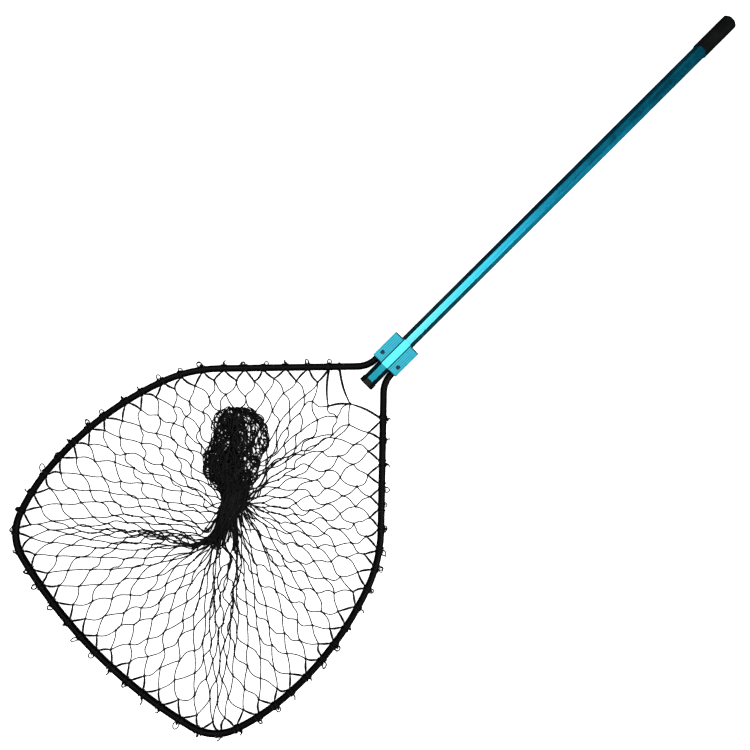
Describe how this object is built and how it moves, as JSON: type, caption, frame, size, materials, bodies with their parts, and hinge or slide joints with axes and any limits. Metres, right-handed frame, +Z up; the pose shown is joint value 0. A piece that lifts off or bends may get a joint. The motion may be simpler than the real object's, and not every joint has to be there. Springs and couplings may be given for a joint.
{
  "type": "landing net",
  "caption": "Landing net with a kite-shaped tube hoop, knotted twine bag, block yoke and an octagonal handle that slides through the yoke.",
  "frame": {"origin": "on the floor the net lies on, midway between the hoop's far side and the butt's end, under the handle's axis", "axes": "+X along the handle, from the hoop towards the butt; +Y across the hoop; +Z up from the floor"},
  "size_m": [1.6106, 0.612, 0.0368],
  "materials": {
    "hoop_coating": "satin",
    "dowel_plastic": "matte",
    "yoke_anodised": "satin",
    "liner_plastic": "matte",
    "screw_steel": "satin",
    "black_screw": "satin",
    "cap_plastic": "satin",
    "handle_anodised": "satin",
    "grip_vinyl": "satin",
    "float_foam": "matte",
    "lock_brass": "satin",
    "spring_steel": "satin",
    "twine": "matte"
  },
  "bodies": {
    "net_frame": {"hoop_tube": "hoop_coating", "hoop_end_dowels": "dowel_plastic", "yoke_block": "yoke_anodised", "yoke_liner": "liner_plastic", "liner_set_screws": "screw_steel", "hoop_screws": "black_screw", "arm_bore_plugs": "cap_plastic", "net_skirt": "twine", "net_neck": "twine", "net_bundle": "twine", "throat_cord": "twine", "border_rings": "twine"},
    "handle": {"handle_tube": "handle_anodised", "front_cap": "cap_plastic", "butt_grip": "grip_vinyl", "front_float": "float_foam", "butt_float": "float_foam", "lock_spring": "spring_steel"},
    "lock": {"lock_button": "lock_brass", "lock_rivet": "screw_steel"}
  },
  "joints": [
    {"name": "handle_slide", "type": "slide", "parent": "net_frame", "child": "handle", "axis": [1, 0, 0], "range_m": [-0.645, 0.035], "deforming": ["net_neck", "net_bundle"]},
    {"name": "lock_press", "type": "slide", "parent": "handle", "child": "lock", "axis": [0, 0, 1], "range_m": [0, 0.0042], "stiffness_N_per_m": 900, "springref_m": -0.004, "deforming": ["lock_spring"]}
  ]
}
